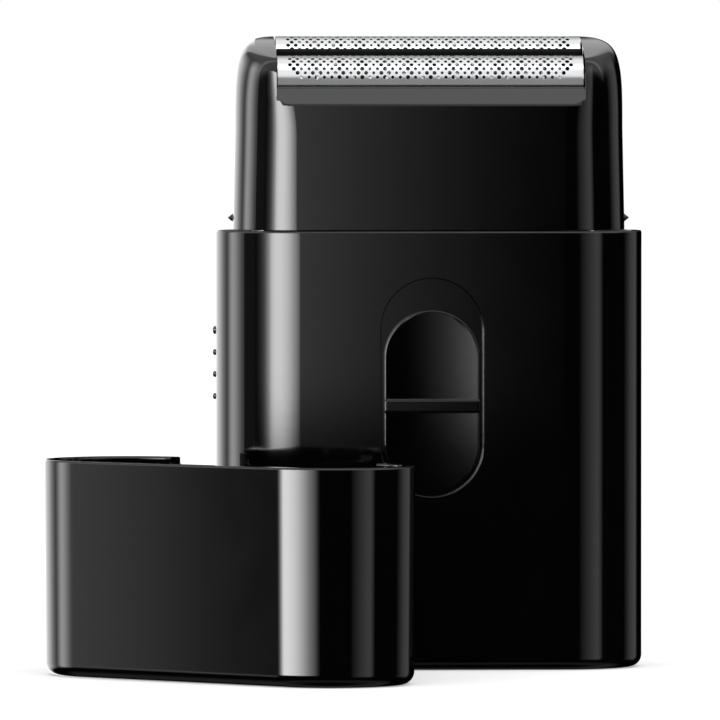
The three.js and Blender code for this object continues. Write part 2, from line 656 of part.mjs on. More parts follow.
for (const [name, side] of [["front", -1], ["rear", 1]]) {
  const y = (side * FOIL.spacing) / 2;
  add(name + "_blade_block", bladeBlock(y), MAT.blade_steel, head);
  add(name + "_cutter_carrier", cutterCarrier(y), MAT.inner_plastic, head);
  add(name + "_cutter_spring", cutterSpring(), MAT.steel, head).position.set(0, y, ARM.springLow + 0.45);
}

add("oscillator", oscillator(), MAT.inner_plastic);
add("guide_pin_front", guideRod(GUIDE.y[0], GUIDE.radius, 10), MAT.steel);
add("guide_pin_rear", guideRod(GUIDE.y[1], GUIDE.radius, 10), MAT.steel);

add("motor_can", motorCan(), MAT.steel);
add("motor_end_bell", motorEndBell(), MAT.inner_plastic);
add("motor_bushing", motorBushing(), MAT.brass);
add("magnet_left", magnet(-1), MAT.magnet);
add("magnet_right", magnet(1), MAT.magnet);
add("armature", armature(), MAT.copper);
add("eccentric_cam", eccentricCam(), MAT.brass);
add("motor_screw_left", screw(-7, MOTOR.y, FRAME.plateHigh + 0.05, 3.4), MAT.steel);
add("motor_screw_right", screw(7, MOTOR.y, FRAME.plateHigh + 0.05, 3.4), MAT.steel);
add("motor_terminal_left", motorTerminal(-6), MAT.brass);
add("motor_terminal_right", motorTerminal(6), MAT.brass);

add("inner_frame", innerFrame(), MAT.inner_plastic);
add("circuit_board", circuitBoard(), MAT.board_green);
add("board_screw_left", boardScrew(-10), MAT.steel);
add("board_screw_right", boardScrew(10), MAT.steel);
add("control_chip", controlChip(), MAT.satin_black);
add("usb_socket", usbSocket(), MAT.steel);
add("usb_tongue", usbTongue(), MAT.inner_plastic);
add("charge_light", chargeLight(), MAT.light_lens);
add("battery_cell", cell(), MAT.cell_wrap);
add("battery_tab_plus", cellTab(1), MAT.steel);
add("battery_tab_minus", cellTab(-1), MAT.steel);
for (const [end, side] of [["plus", 1], ["minus", -1]]) {
  const colour = side > 0 ? MAT.red_wire : MAT.black_wire;
  const mirrored = (points) => points.map(([x, y, z]) => [side * x, y, z]);
  const battery = mirrored([
    [25.75, 0, 20], [25.4, -3, 22.6], [23, -4.8, 24.6],
    [18, -5, 25.6], [11.4, -4.9, 25.6], [9.8, -6.2, 25.6],
  ]);
  const motor = mirrored([[6, 1.05, 25.6], [6, -1.5, 25.75], [6.2, -4, 25.8], [6.3, -6.25, 25.8]]);
  add("battery_lead_" + end, wire(battery, 0.45, 14), colour);
  add("motor_lead_" + end, wire(motor, 0.35, 8), colour);
}

LIGHTS.forEach((z, i) => add("gauge_light_" + (i + 1), gaugeLight(z, i), MAT.light_lens));
add("gauge_board", gaugeBoard(), MAT.board_green);

add("switch_knob", switchKnob(), MAT.gloss_black);
add("switch_slider", switchSlider(), MAT.inner_plastic);
add("contact_wiper", contactWiper(), MAT.brass);

const cap = add("cap_shell", capShell(), MAT.gloss_black);
cap.position.set(CAP_PLACE.x, CAP_PLACE.y, 0);
cap.rotation.z = CAP_PLACE.turn;

export default shaver;
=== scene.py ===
"""Looks of the pocket foil shaver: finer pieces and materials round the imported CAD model.

Lengths are in millimetres until a mesh is made; angles are in degrees unless a name says otherwise.
"""

import json
import math

import bmesh
import bpy
from mathutils import Matrix, Vector


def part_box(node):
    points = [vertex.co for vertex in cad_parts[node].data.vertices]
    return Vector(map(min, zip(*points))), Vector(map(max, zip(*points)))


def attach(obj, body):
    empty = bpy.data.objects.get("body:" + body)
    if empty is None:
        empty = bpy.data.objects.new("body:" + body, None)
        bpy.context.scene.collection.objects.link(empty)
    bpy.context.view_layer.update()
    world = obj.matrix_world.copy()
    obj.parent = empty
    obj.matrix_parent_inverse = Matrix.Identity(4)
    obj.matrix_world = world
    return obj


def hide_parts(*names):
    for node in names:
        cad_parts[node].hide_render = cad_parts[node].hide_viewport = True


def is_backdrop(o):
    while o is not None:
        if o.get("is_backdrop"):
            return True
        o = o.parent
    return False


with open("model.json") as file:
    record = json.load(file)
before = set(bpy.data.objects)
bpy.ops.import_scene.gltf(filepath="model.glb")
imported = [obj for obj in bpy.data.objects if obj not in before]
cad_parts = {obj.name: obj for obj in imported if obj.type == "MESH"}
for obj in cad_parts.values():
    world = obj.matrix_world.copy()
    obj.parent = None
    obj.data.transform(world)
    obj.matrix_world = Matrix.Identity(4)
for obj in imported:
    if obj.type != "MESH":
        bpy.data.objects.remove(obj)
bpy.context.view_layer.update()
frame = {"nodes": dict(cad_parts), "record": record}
nodes = frame["nodes"]
bodies_of = {n: b for b, ns in frame["record"]["behaviour"]["bodies"].items() for n in ns}
scene = bpy.context.scene
MM = 0.001


def box_mm(node):
    low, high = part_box(node)
    return low / MM, high / MM


# ---------------------------------------------------------------- dimensions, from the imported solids

housing_low, housing_high = box_mm("main_housing")
HALF_WIDTH, HALF_DEPTH = housing_high.x, housing_high.y
HALF_FLAT = HALF_WIDTH - HALF_DEPTH  # half the straight part of the housing's outline
TOP = 63.4  # the key on the rear edge stands above it
WALL, EDGE, FLOOR = 1.6, 1.7, 1.8  # wall, rounding of the lower edge, thickness of the floor
INNER_CORNER = 0.8  # rounding between a wall and the floor inside it
TILT = math.radians(19)  # of the head, backwards
DATUM_Z = 86.87  # where the head's tilted frame has its origin
FOIL_RADIUS, FOIL_CENTRE, FOIL_SPACING = 3.3, -0.05, 8.7
FOIL_HALF = box_mm("front_foil")[1].x
SPAN = FOIL_HALF + 0.15  # half the distance between the cheeks
STEPS, SMALL_STEPS = 64, 24  # in each half circle of an outline, and of a small one
EDGE_STEPS, LIP_STEPS = 10, 4  # in the rounding of a lower edge, and of the others
BEYOND = 30  # a cutter goes on that far, to be clear of what it cuts
TINY = 0.01  # allowed for rounding errors


# ---------------------------------------------------------------- meshes

SMOOTH = 40.0  # edges with a larger angle than that stay sharp
MERGE = 0.002  # points that close become one


def make(name, verts, faces, smooth=SMOOTH):
    """An object from points in millimetres, smooth-shaded except across edges sharper than the angle."""
    mesh = bpy.data.meshes.new(name)
    mesh.from_pydata([[c * MM for c in v] for v in verts], [], faces)
    mesh.update()
    obj = bpy.data.objects.new(name, mesh)
    scene.collection.objects.link(obj)
    shade(obj, smooth)
    return obj


def shade(obj, angle, merge=0.0):
    """Smooth shading up to that angle, with faces pointing out and points that nearly coincide merged."""
    bm = bmesh.new()
    bm.from_mesh(obj.data)
    if merge:
        bmesh.ops.remove_doubles(bm, verts=bm.verts, dist=merge * MM)
    bmesh.ops.recalc_face_normals(bm, faces=bm.faces)
    for face in bm.faces:
        face.smooth = True
    limit = math.radians(angle)
    for edge in bm.edges:
        edge.smooth = len(edge.link_faces) == 2 and edge.calc_face_angle(0.0) < limit
    bm.to_mesh(obj.data)
    bm.free()


def weigh(obj):
    """Large faces keep their own normals, so flat faces next to curved ones stay flat."""
    mod = obj.modifiers.new("Weighted normals", "WEIGHTED_NORMAL")
    mod.keep_sharp = True
    mod.weight = 100
    return obj


def turns(count):
    return [2 * math.pi * i / count for i in range(count)]


def quarter_turns(steps):
    return [math.pi / 2 * i / steps for i in range(steps + 1)]


def loft(rings):
    """Points and faces of a closed solid through rings of the same count."""
    count = len(rings[0])
    verts = [p for ring in rings for p in ring]
    faces = []
    for r in range(len(rings) - 1):
        for i in range(count):
            j = (i + 1) % count
            faces.append((r * count + i, r * count + j, (r + 1) * count + j, (r + 1) * count + i))
    last = (len(rings) - 1) * count
    faces.append(tuple(reversed(range(count))))
    faces.append(tuple(range(last, last + count)))
    return verts, faces


def join(*solids):
    """Several solids' points and faces as one list."""
    verts, faces = [], []
    for v, f in solids:
        faces += [tuple(i + len(verts) for i in face) for face in f]
        verts += v
    return verts, faces


def level(outline, z):
    """An outline of [x, y] as a ring at one height."""
    return [(x, y, z) for x, y in outline]


def stadium(half_width, half_depth, flat, steps=STEPS):
    """A bar with round ends as [x, y]; flat is half the length of its straight part."""
    points = []
    for side in (1, -1):
        for i in range(steps + 1):
            turn = -math.pi / 2 + math.pi * i / steps
            x = flat + (half_width - flat) * math.cos(turn)
            points.append((side * x, side * half_depth * math.sin(turn)))
    return points


def body_outline(inset):
    return stadium(HALF_WIDTH - inset, HALF_DEPTH - inset, HALF_FLAT)


def pill(half_width, low, high, steps=40):
    """An upright pill as [x, z]."""
    points = []
    for centre, start in ((high - half_width, 0.0), (low + half_width, math.pi)):
        for i in range(steps + 1):
            turn = start + math.pi * i / steps
            points.append((half_width * math.cos(turn), centre + half_width * math.sin(turn)))
    return points


def upright(outlines):
    """A solid through pairs of (outline of [x, z], y), from front to back."""
    return loft([[(x, y, z) for x, z in outline] for outline, y in outlines])


def block(x0, x1, y0, y1, z0, z1):
    corners = [(x0, y0), (x1, y0), (x1, y1), (x0, y1)]
    return loft([level(corners, z0), level(corners, z1)])


def along_x(outline, x0, x1):
    """A bar along X whose outline is a list of [y, z]."""
    return loft([[(x, y, z) for y, z in outline] for x in (x0, x1)])


def tongue(half_width, low, high, radius, steps=8):
    """A rectangle as [x, z] whose corners at the high end are rounded; it may point down."""
    sign = 1 if high > low else -1
    arc = []
    for turn in quarter_turns(steps):
        x = half_width - radius + radius * math.cos(turn)
        arc.append((x, high - sign * radius * (1 - math.sin(turn))))
    return [(half_width, low), *arc, *[(-x, z) for x, z in reversed(arc)], (-half_width, low)]


def octahedron(size, x, z):
    """Half its lengths along X, Y and Z are the size; it lies in the middle of the depth."""
    rx, ry, rz = size
    verts = [(x + rx, 0, z), (x - rx, 0, z), (x, ry, z), (x, -ry, z), (x, 0, z + rz), (x, 0, z - rz)]
    faces = [(0, 2, 4), (2, 1, 4), (1, 3, 4), (3, 0, 4), (2, 0, 5), (1, 2, 5), (3, 1, 5), (0, 3, 5)]
    return verts, faces


def tilted(solid):
    """From the head's frame, whose Z is the normal of the shaving plane, to the row's."""
    c, s = math.cos(TILT), math.sin(TILT)
    verts, faces = solid
    return [(x, y * c - z * s, DATUM_Z + y * s + z * c) for x, y, z in verts], faces


def carve(obj, cutters, operation="DIFFERENCE"):
    """Cuts solids out of an object, or joins them to it, and leaves one clean mesh."""
    for solid in cutters:
        tool = make("tool", *solid)
        mod = obj.modifiers.new("carve", "BOOLEAN")
        mod.operation = operation
        mod.object = tool
        mod.solver = "EXACT"
        bpy.context.view_layer.update()
        evaluated = obj.evaluated_get(bpy.context.evaluated_depsgraph_get())
        shaped = bpy.data.meshes.new_from_object(evaluated)
        obj.modifiers.clear()
        old = obj.data
        obj.data = shaped
        bpy.data.meshes.remove(old)
        bpy.data.objects.remove(tool)
    shade(obj, SMOOTH, MERGE)
    return obj


# ---------------------------------------------------------------- materials

class Nodes:
    """Short calls for building one material's nodes."""

    def __init__(self, name):
        self.material = bpy.data.materials.new(name)
        self.material.use_nodes = True
        self.tree = self.material.node_tree
        self.shader = self.tree.nodes["Principled BSDF"]
        self.place = self.add("ShaderNodeTexCoord").outputs["Object"]

    def add(self, kind, inputs=None, **attributes):
        node = self.tree.nodes.new(kind)
        for key, value in attributes.items():
            setattr(node, key, value)
        for key, value in (inputs or {}).items():
            self.put(node.inputs[key], value)
        return node

    def put(self, socket, value):
        if isinstance(value, bpy.types.NodeSocket):
            self.tree.links.new(value, socket)
        else:
            socket.default_value = value

    def set(self, **values):
        for key, value in values.items():
            self.put(self.shader.inputs[key.replace("_", " ")], value)

    def stretched(self, sx, sy, sz):
        """The place in the object, with each axis scaled."""
        node = self.add("ShaderNodeMapping", {"Vector": self.place})
        node.inputs["Scale"].default_value = (sx, sy, sz)
        return node.outputs["Vector"]

    def noise(self, per_mm, detail=2.0, rough=0.5, vector=None):
        """Noise with about that many features to the millimetre."""
        node = self.add("ShaderNodeTexNoise", {
            "Vector": vector or self.place, "Scale": per_mm / MM, "Detail": detail, "Roughness": rough})
        return node.outputs["Fac"]

    def spread(self, value, low, high, start=0.3, end=0.7):
        """A value between start and end, which noise mostly keeps to, drawn out to between low and high."""
        return self.add("ShaderNodeMapRange", {
            "Value": value, "From Min": start, "From Max": end,
            "To Min": low, "To Max": high}).outputs["Result"]

    def blend(self, share, first, second):
        node = self.add("ShaderNodeMix", data_type="RGBA")
        self.put(node.inputs[0], share)
        self.put(node.inputs[6], (*first, 1) if len(first) == 3 else first)
        self.put(node.inputs[7], (*second, 1) if len(second) == 3 else second)
        return node.outputs[2]

    def math(self, operation, first, second=0.5):
        node = self.add("ShaderNodeMath", operation=operation)
        self.put(node.inputs[0], first)
        self.put(node.inputs[1], second)
        return node.outputs[0]

    def bump(self, height, depth_mm, strength=1.0, normal=None):
        inputs = {"Height": height, "Distance": depth_mm * MM, "Strength": strength}
        if normal is not None:
            inputs["Normal"] = normal
        return self.add("ShaderNodeBump", inputs).outputs["Normal"]

    def rounded(self, radius_mm):
        return self.add("ShaderNodeBevel", {"Radius": radius_mm * MM}, samples=4).outputs["Normal"]


def gloss_black():
    """Mirror-polished black ABS: even, with a trace of haze and of orange peel from the mould."""
    m = Nodes("gloss_black")
    haze = m.noise(0.12, 4.0, 0.6)
    grain = m.noise(3.0, 2.0)
    m.set(
        Base_Color=m.blend(haze, (0.0006, 0.0006, 0.0006), (0.0012, 0.0012, 0.0013)),
        Roughness=m.math("ADD", m.spread(haze, 0.032, 0.05), m.spread(grain, 0.0, 0.01)),
        IOR=1.5,
        Normal=m.bump(m.noise(0.7, 1.0), 0.00025, normal=m.rounded(0.12)),
    )
    return m.material


def satin_black():
    """Finely grained black plastic, which shines only a little."""
    m = Nodes("satin_black")
    grain = m.noise(6.0, 3.0, 0.6)
    m.set(
        Base_Color=m.blend(m.noise(0.3, 3.0), (0.002, 0.002, 0.002), (0.004, 0.004, 0.004)),
        Roughness=m.spread(grain, 0.38, 0.5),
        IOR=1.5,
        Specular_IOR_Level=0.12,
        Normal=m.bump(grain, 0.004, 0.5, normal=m.rounded(0.08)),
    )
    return m.material


def moulded(name, dark, light, rough=(0.45, 0.62), grain_mm=0.01):
    """Spark-textured engineering plastic, as on parts that stay inside."""
    m = Nodes(name)
    grain = m.noise(4.0, 4.0, 0.65)
    m.set(
        Base_Color=m.blend(m.noise(0.25, 3.0), dark, light),
        Roughness=m.spread(grain, *rough),
        IOR=1.5,
        Normal=m.bump(grain, grain_mm, 0.7, normal=m.rounded(0.08)),
    )
    return m.material


def rubber():
    m = Nodes("rubber")
    grain = m.noise(5.0, 5.0, 0.7)
    m.set(
        Base_Color=m.blend(m.noise(0.5, 3.0), (0.008, 0.008, 0.008), (0.017, 0.0165, 0.016)),
        Roughness=m.spread(grain, 0.7, 0.88),
        IOR=1.52,
        Normal=m.bump(grain, 0.02, 0.8),
    )
    return m.material


def metal(name, dark, light, rough, along=(0.06, 1.0, 1.0)):
    """Metal with a fine grain drawn out along one axis."""
    m = Nodes(name)
    lines = m.noise(9.0, 4.0, 0.6, m.stretched(*along))
    cloud = m.noise(0.4, 3.0)
    m.set(
        Base_Color=m.blend(cloud, dark, light),
        Metallic=1.0,
        Roughness=m.math("ADD", m.spread(lines, *rough), m.spread(cloud, -0.03, 0.03)),
        Normal=m.bump(lines, 0.0015, 0.6, normal=m.rounded(0.06)),
    )
    return m.material


def cell_wrap():
    m = Nodes("cell_wrap")
    wrinkle = m.noise(0.5, 3.0, 0.5, m.stretched(0.3, 1.0, 1.0))
    m.set(
        Base_Color=m.blend(m.noise(0.15, 2.0), (0.02, 0.11, 0.24), (0.03, 0.15, 0.3)),
        Roughness=m.spread(wrinkle, 0.25, 0.4),
        Normal=m.bump(wrinkle, 0.03, 0.5),
    )
    return m.material


def board_green():
    """Solder mask over a web of copper tracks."""
    m = Nodes("board_green")
    web = m.add("ShaderNodeTexVoronoi", {"Vector": m.place, "Scale": 0.6 / MM},
                feature="DISTANCE_TO_EDGE", distance="CHEBYCHEV").outputs["Distance"]
    track = m.spread(web, 1.0, 0.0, 0.05, 0.08)
    m.set(
        Base_Color=m.blend(track, (0.008, 0.045, 0.022), (0.02, 0.11, 0.045)),
        Roughness=m.spread(m.noise(2.0), 0.3, 0.42),
        Normal=m.bump(track, 0.03, 0.6),
    )
    return m.material


def light_lens():
    """Smoked clear plastic over a light that is off."""
    m = Nodes("light_lens")
    m.set(
        Base_Color=m.blend(m.noise(1.5, 2.0), (0.003, 0.003, 0.0035), (0.012, 0.012, 0.013)),
        Roughness=m.spread(m.noise(4.0), 0.05, 0.09),
        IOR=1.49,
        Coat_Weight=0.6,
        Coat_Roughness=0.03,
    )
    return m.material


def insulation(name, dark, light):
    m = Nodes(name)
    m.set(
        Base_Color=m.blend(m.noise(1.0, 2.0), dark, light),
        Roughness=m.spread(m.noise(3.0, 3.0), 0.35, 0.5),
        Normal=m.bump(m.noise(2.0, 2.0), 0.01, 0.4),
    )
    return m.material


FINISHES = {
    "gloss_black": gloss_black(),
    "satin_black": satin_black(),
    "inner_plastic": moulded("inner_plastic", (0.022, 0.023, 0.026), (0.034, 0.035, 0.039)),
    "rubber": rubber(),
    "foil_steel": metal("foil_steel", (0.78, 0.79, 0.8), (0.86, 0.87, 0.88), (0.16, 0.26)),
    "blade_steel": metal(
        "blade_steel", (0.5, 0.51, 0.53), (0.62, 0.63, 0.65), (0.2, 0.32), (1.0, 0.08, 1.0)),
    "steel": metal("steel", (0.42, 0.43, 0.45), (0.55, 0.56, 0.58), (0.28, 0.4)),
    "brass": metal("brass", (0.62, 0.45, 0.2), (0.76, 0.58, 0.29), (0.24, 0.36)),
    "copper": metal("copper", (0.55, 0.25, 0.1), (0.72, 0.38, 0.18), (0.3, 0.42), (1.0, 1.0, 0.1)),
    "magnet": moulded("magnet", (0.035, 0.035, 0.037), (0.055, 0.054, 0.056), (0.55, 0.7), 0.03),
    "cell_wrap": cell_wrap(),
    "board_green": board_green(),
    "light_lens": light_lens(),
    "red_wire": insulation("red_wire", (0.3, 0.012, 0.012), (0.42, 0.02, 0.018)),
    "black_wire": insulation("black_wire", (0.01, 0.01, 0.01), (0.02, 0.02, 0.02)),
}
SLOT_OF = {p["node"]: p["material_slot"] for p in frame["record"]["subparts"]}
for node, obj in nodes.items():
    for place in obj.material_slots:
        place.material = FINISHES[SLOT_OF[node]]


def finished(obj, node):
    """The piece stands for that CAD node: it takes its body and its finish."""
    slot = SLOT_OF[node]
    obj.data.materials.clear()
    obj.data.materials.append(FINISHES[slot])
    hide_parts(node)
    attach(obj, bodies_of[node])
    return obj


# ---------------------------------------------------------------- housing

HOUSING_LIP = 0.3  # rounding of the upper edge
FRONT = -HALF_DEPTH
POCKET = dict(half_width=7.35, low=25.1, high=56.6)  # the recess that the knob slides in
POCKET_RIM = [(0.2, -0.1), (0.1, 0.0), (0.04, 0.03), (0.0, 0.1), (0.0, 1.4)]  # its growth at each depth
PAD = dict(grow=1.2, start=0.8, end=2.6)  # thickens the wall behind the recess
SLOT = dict(half_width=2.6, depth=3, low=33.4, high=48.6)  # lets the knob's stem through
KEY = dict(half_width=19, foot=1, radius=0.7, bevel=0.15)
KEY_DEPTHS = dict(inside=1.5, bevel=0.25, outside=0.02)  # in from the rear face
PORT = dict(half_width=4.72, half_depth=1.85, flat=2.87, y=-4.95)  # for charging, in the floor
# How much wider and deeper the port's mouth is at each height:
PORT_MOUTH = [(1.1, 1.2, -0.5), (1.04, 1.1, 0.0), (1.0, 1.0, 0.3), (1.0, 1.0, FLOOR + 1)]
CHARGE_LIGHT = dict(radius=0.95, x=9)  # beside the port
GAUGE_BOXES = [box_mm(f"gauge_light_{i}") for i in (1, 2, 3, 4)]
GAUGE_HEIGHTS = [(low.z + high.z) / 2 for low, high in GAUGE_BOXES]
TOP_LIGHT_TALL = 1.35  # the top light is an oval that much taller than wide
# Profiles of a light's hole and lens, as (how far in from the side, radius):
GAUGE_HOLE = [(-1.2, 0.75), (0.0, 0.62), (0.12, 0.55), (2.8, 0.55)]
GAUGE_LENS = [(2.0, 0.47), (0.02, 0.47), (-0.12, 0.45), (-0.23, 0.38), (-0.32, 0.28), (-0.38, 0.15),
              (-0.4, 0.03)]
HOLE_SIDES, LENS_SIDES = 23, 21  # odd, so that no point of a hole lies on one of the housing's


def rounded_shell(outer, inner, edge, height, floor, lip):
    """Rings of a cup: round lower edge, wall, rounded lip, and down its inside to the floor."""
    rings = []
    for turn in quarter_turns(EDGE_STEPS):
        rings.append(level(outer(edge * (1 - math.sin(turn)), edge), edge * (1 - math.cos(turn))))
    for turn in quarter_turns(LIP_STEPS):
        z = height - lip * (1 - math.sin(turn))
        rings.append(level(outer(lip * (1 - math.cos(turn)), height), z))
    for turn in quarter_turns(LIP_STEPS):
        z = height - lip * (1 - math.cos(turn))
        rings.append(level(inner(-lip * (1 - math.sin(turn)), height), z))
    for turn in quarter_turns(LIP_STEPS):
        z = floor + INNER_CORNER * (1 - math.sin(turn))
        rings.append(level(inner(INNER_CORNER * (1 - math.cos(turn)), floor), z))
    return rings


def pocket_pill(grow):
    return pill(POCKET["half_width"] + grow, POCKET["low"] - grow, POCKET["high"] + grow)


def rear_key():
    """The tongue on the rear edge, which fits the cap's notch."""
    low, high = TOP - KEY["foot"], housing_high.z
    full = tongue(KEY["half_width"], low, high, KEY["radius"])
    bevelled = tongue(KEY["half_width"] - KEY["bevel"], low, high - KEY["bevel"], KEY["radius"])
    return upright([
        (full, HALF_DEPTH - KEY_DEPTHS["inside"]),
        (full, HALF_DEPTH - KEY_DEPTHS["bevel"]),
        (bevelled, HALF_DEPTH - KEY_DEPTHS["outside"]),
    ])


def charging_port():
    outline = stadium(PORT["half_width"], PORT["half_depth"], PORT["flat"], SMALL_STEPS)
    return loft([
        level([(x * wide, PORT["y"] + y * deep) for x, y in outline], z)
        for wide, deep, z in PORT_MOUTH])


def charge_light_hole():
    ring = [(CHARGE_LIGHT["x"] + CHARGE_LIGHT["radius"] * math.cos(a),
             PORT["y"] + CHARGE_LIGHT["radius"] * math.sin(a)) for a in turns(SMALL_STEPS)]
    return loft([level(ring, -1), level(ring, FLOOR + 1)])


def gauge_solid(index, profile, sides):
    """A solid round the axis of one light of the gauge, which points to the left."""
    z = GAUGE_HEIGHTS[index]
    tall = TOP_LIGHT_TALL if index == len(GAUGE_HEIGHTS) - 1 else 1.0
    return loft([
        [(-HALF_WIDTH + x, r * math.cos(a), z + tall * r * math.sin(a)) for a in turns(sides)]
        for x, r in profile])


def housing_body():
    def outer(inset, _):
        return body_outline(inset)

    def inner(inset, _):
        return body_outline(WALL + inset)

    obj = make("housing_body", *loft(rounded_shell(outer, inner, EDGE, TOP, FLOOR, HOUSING_LIP)))
    pad = upright([(pocket_pill(PAD["grow"]), FRONT + PAD[y]) for y in ("start", "end")])
    carve(obj, [pad, rear_key()], "UNION")
    pocket = upright([(pocket_pill(grow), FRONT + y) for grow, y in POCKET_RIM])
    slot = block(
        -SLOT["half_width"], SLOT["half_width"], FRONT, FRONT + SLOT["depth"], SLOT["low"], SLOT["high"])
    gauge = [gauge_solid(i, GAUGE_HOLE, HOLE_SIDES) for i in range(len(GAUGE_HEIGHTS))]
    carve(obj, [pocket, slot, charging_port(), charge_light_hole(), *gauge])
    return weigh(obj)


finished(housing_body(), "main_housing")


# ---------------------------------------------------------------- neck and cheeks

NECK = dict(base=63.5, flat=19.4, half_width=28.5, half_depth=9.4, shoulder=28.2, rounding=0.54,
            squareness=3.6, face_squareness=4, crown=24.4, crown_depth=7.4, crown_flat=22,
            lean=math.radians(11), top=91.45, dome=0.45)
NECK_WALL = 1.2
CROWN_RINGS, DOME_RINGS = 26, 16
CROWDING = 2.4  # how much closer the rings get towards the crown
DOME_NARROWING = 0.4  # how much shorter the innermost ring of the dome is than the outermost
NUB = dict(size=(1.05, 1.5, 0.85), sunk=0.35, z=65.2)  # clicks into the cap
# In the head's tilted frame:
CASSETTE_LOW = -2.4
CEILING = CASSETTE_LOW - 1.85
WELL = dict(half_depth=8.3, gap=0.25, high=1)  # that the cassette sits in
WINDOW = dict(half_width=20.4, half_depth=6.8, low=-4.8)  # for the cutters
HOOK_HOLE = dict(x=21.6, half_width=0.65, half_depth=2.3, low=-6)
# What is cut off the front and the rear wall between the cheeks, as [y, z]:
FRONT_EDGE = [(-11, 79.12), (-8.05, 83.97), (-8.05, 92), (-11, 92)]
REAR_EDGE = [(8.2, 89.3), (11, 85.1), (11, 96), (8.2, 96)]


def closing(rise, squareness):
    """A superellipse from 1 to 0."""
    return max(0.0, 1 - rise ** squareness) ** (1 / squareness)


def neck_size(share):
    """Half width, half depth and half the straight part of the neck at a share of its height."""
    rise = max(0.0, (share - NECK["rounding"]) / (1 - NECK["rounding"]))
    sides = min(share / NECK["rounding"], 1.0)
    straight = NECK["half_width"] + (NECK["shoulder"] - NECK["half_width"]) * sides
    ends = NECK["crown"] + (straight - NECK["crown"]) * closing(rise, NECK["squareness"])
    deep = NECK["half_depth"] - NECK["crown_depth"]
    faces = NECK["crown_depth"] + deep * closing(rise, NECK["face_squareness"])
    flat = NECK["flat"] + (NECK["crown_flat"] - NECK["flat"]) * rise ** 2
    return ends, faces, flat


def neck_ring(share, spread=1.0):
    """A ring of the neck; the rings with less spread lie within the last one, over the dome of the top."""
    crown = NECK["top"] - NECK["crown_depth"] * math.tan(NECK["lean"])
    ends, faces, flat = neck_size(share)
    ring = []
    for x, y in stadium(ends, faces, flat):
        x *= 1 - DOME_NARROWING * (1 - spread)
        y *= spread
        top = crown + y * math.tan(NECK["lean"]) + NECK["dome"] * (1 - (y / faces) ** 2)
        ring.append((x, y, NECK["base"] + share * (top - NECK["base"])))
    return ring


def neck_blank():
    """The neck with its cheeks in one solid, before it is hollowed out."""
    rounding = NECK["rounding"]
    shares = [0.0, 0.004, 0.2, 0.4, rounding]
    for i in range(1, CROWN_RINGS + 1):
        shares.append(rounding + (1 - rounding) * (1 - (1 - i / CROWN_RINGS) ** CROWDING))
    rings = [neck_ring(share) for share in shares]
    rings += [neck_ring(1.0, 1 - i / DOME_RINGS) for i in range(1, DOME_RINGS)]
    return loft(rings)


def neck_hollow():
    """The room inside, up to a ceiling that leans with the head."""
    section = stadium(
        NECK["half_width"] - NECK_WALL, NECK["half_depth"] - NECK_WALL, NECK["flat"], SMALL_STEPS)
    ceiling = DATUM_Z + CEILING / math.cos(TILT)
    leaning = [(x, y, ceiling + y * math.tan(TILT)) for x, y in section]
    return loft([level(section, NECK["base"] - 1), leaning])


def hook_hole(side):
    x, half = side * HOOK_HOLE["x"], HOOK_HOLE["half_width"]
    return tilted(block(
        x - half, x + half, -HOOK_HOLE["half_depth"], HOOK_HOLE["half_depth"], HOOK_HOLE["low"], 0))


def neck_shell():
    obj = make("neck_shell", *neck_blank())
    nub_x = NECK["half_width"] - NUB["sunk"]
    carve(obj, [octahedron(NUB["size"], side * nub_x, NUB["z"]) for side in (-1, 1)], "UNION")
    channel = tilted(block(-SPAN, SPAN, -BEYOND, BEYOND, 0, BEYOND))
    well = tilted(block(
        -SPAN, SPAN, -WELL["half_depth"], WELL["half_depth"], CASSETTE_LOW - WELL["gap"], WELL["high"]))
    window = tilted(block(
        -WINDOW["half_width"], WINDOW["half_width"], -WINDOW["half_depth"], WINDOW["half_depth"],
        WINDOW["low"], 0))
    edges = [along_x(outline, -SPAN, SPAN) for outline in (FRONT_EDGE, REAR_EDGE)]
    carve(obj, [neck_hollow(), channel, well, window, hook_hole(-1), hook_hole(1), *edges])
    return weigh(obj)


neck = finished(neck_shell(), "head_shell")


# ---------------------------------------------------------------- foils, divider and blades

PITCH, ROW = 1.1, 0.65  # between holes in a row, and between rows along the arch
ROWS = 6  # on each side of the crest
FULL_ROWS = 3  # on each side of the crest; the rows beyond them are shorter
FIELD_HALF = 20.4
HOLE = dict(radius=0.265, swell=0.05, every=3, sides=12)
SKIRT = 0.6  # each of the two straight strips below the arch
FOIL_THICK = 0.08
QUARTER = FOIL_RADIUS * math.pi / 2  # from the crest to where the sheet goes straight down
BLADE = dict(radius=2.75, pitch=2.5, count=16, half_thickness=0.25, sides=24)
BLADE_BAR = dict(half_length=19.3, half_width=0.9, low=-0.9, high=1.2)
DIVIDER = dict(half_width=0.35, low=-1.1, shoulder=2.65, sides=10)


def foil_point(x, s, y):
    """A point of the sheet at distance s over the crest, towards the front, in the head's frame."""
    if abs(s) <= QUARTER:
        turn = s / FOIL_RADIUS
        return x, y - FOIL_RADIUS * math.sin(turn), FOIL_CENTRE + FOIL_RADIUS * math.cos(turn)
    return x, y - math.copysign(FOIL_RADIUS, s), FOIL_CENTRE - (abs(s) - QUARTER)


def field_half(row):
    """Half the length of a row of holes: the lowest rows are shorter, so the field has cut corners."""
    return FIELD_HALF - PITCH / 2 * max(0, abs(row) - FULL_ROWS)


def stagger(row):
    """How many quarters of the pitch a row is shifted by."""
    return 0 if row % 2 == 0 else 2


